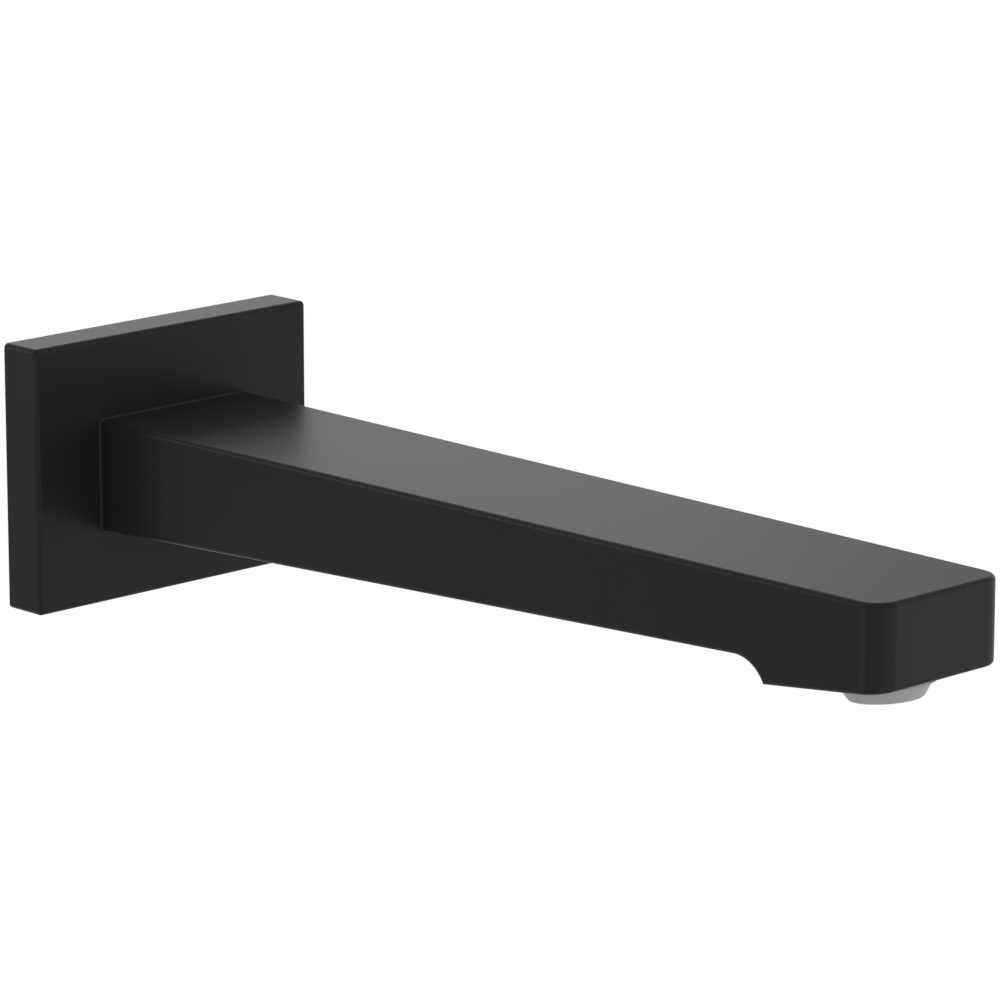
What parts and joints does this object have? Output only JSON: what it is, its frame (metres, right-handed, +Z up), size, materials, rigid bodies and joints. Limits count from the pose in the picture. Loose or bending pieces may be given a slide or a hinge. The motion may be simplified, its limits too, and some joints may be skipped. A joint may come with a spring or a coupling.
{
  "type": "bath spout",
  "caption": "Wall-mounted bath spout: square-lined tapering arm with an undercut nose and aerator, on a rectangular wall flange with a threaded inlet nipple.",
  "frame": {"origin": "on the inlet axis, at the finished wall (the flange's back plane)", "axes": "+Z up, -Y out of the wall towards the outlet, +X to the right as one faces the wall"},
  "size_m": [0.072, 0.2321, 0.0544],
  "materials": {
    "black_coat": "fine matte black coat on brass",
    "brass": "turned brass, bare",
    "rubber": "black moulded rubber",
    "fibre": "red vulcanised fibre board",
    "steel": "stainless steel, turned",
    "grey_plastic": "light grey moulded plastic, fine matte",
    "white_plastic": "natural white moulded plastic"
  },
  "bodies": {
    "root": {"spout_body": "black_coat", "wall_flange": "black_coat", "flange_gasket": "rubber", "wall_nipple": "brass", "nipple_washer": "fibre", "inner_o_ring": "rubber", "outer_o_ring": "rubber", "grub_screw": "steel", "aerator_housing": "grey_plastic", "aerator_washer": "rubber", "aerator_screen": "white_plastic", "aerator_diffuser": "white_plastic", "aerator_grid": "grey_plastic"}
  },
  "joints": []
}
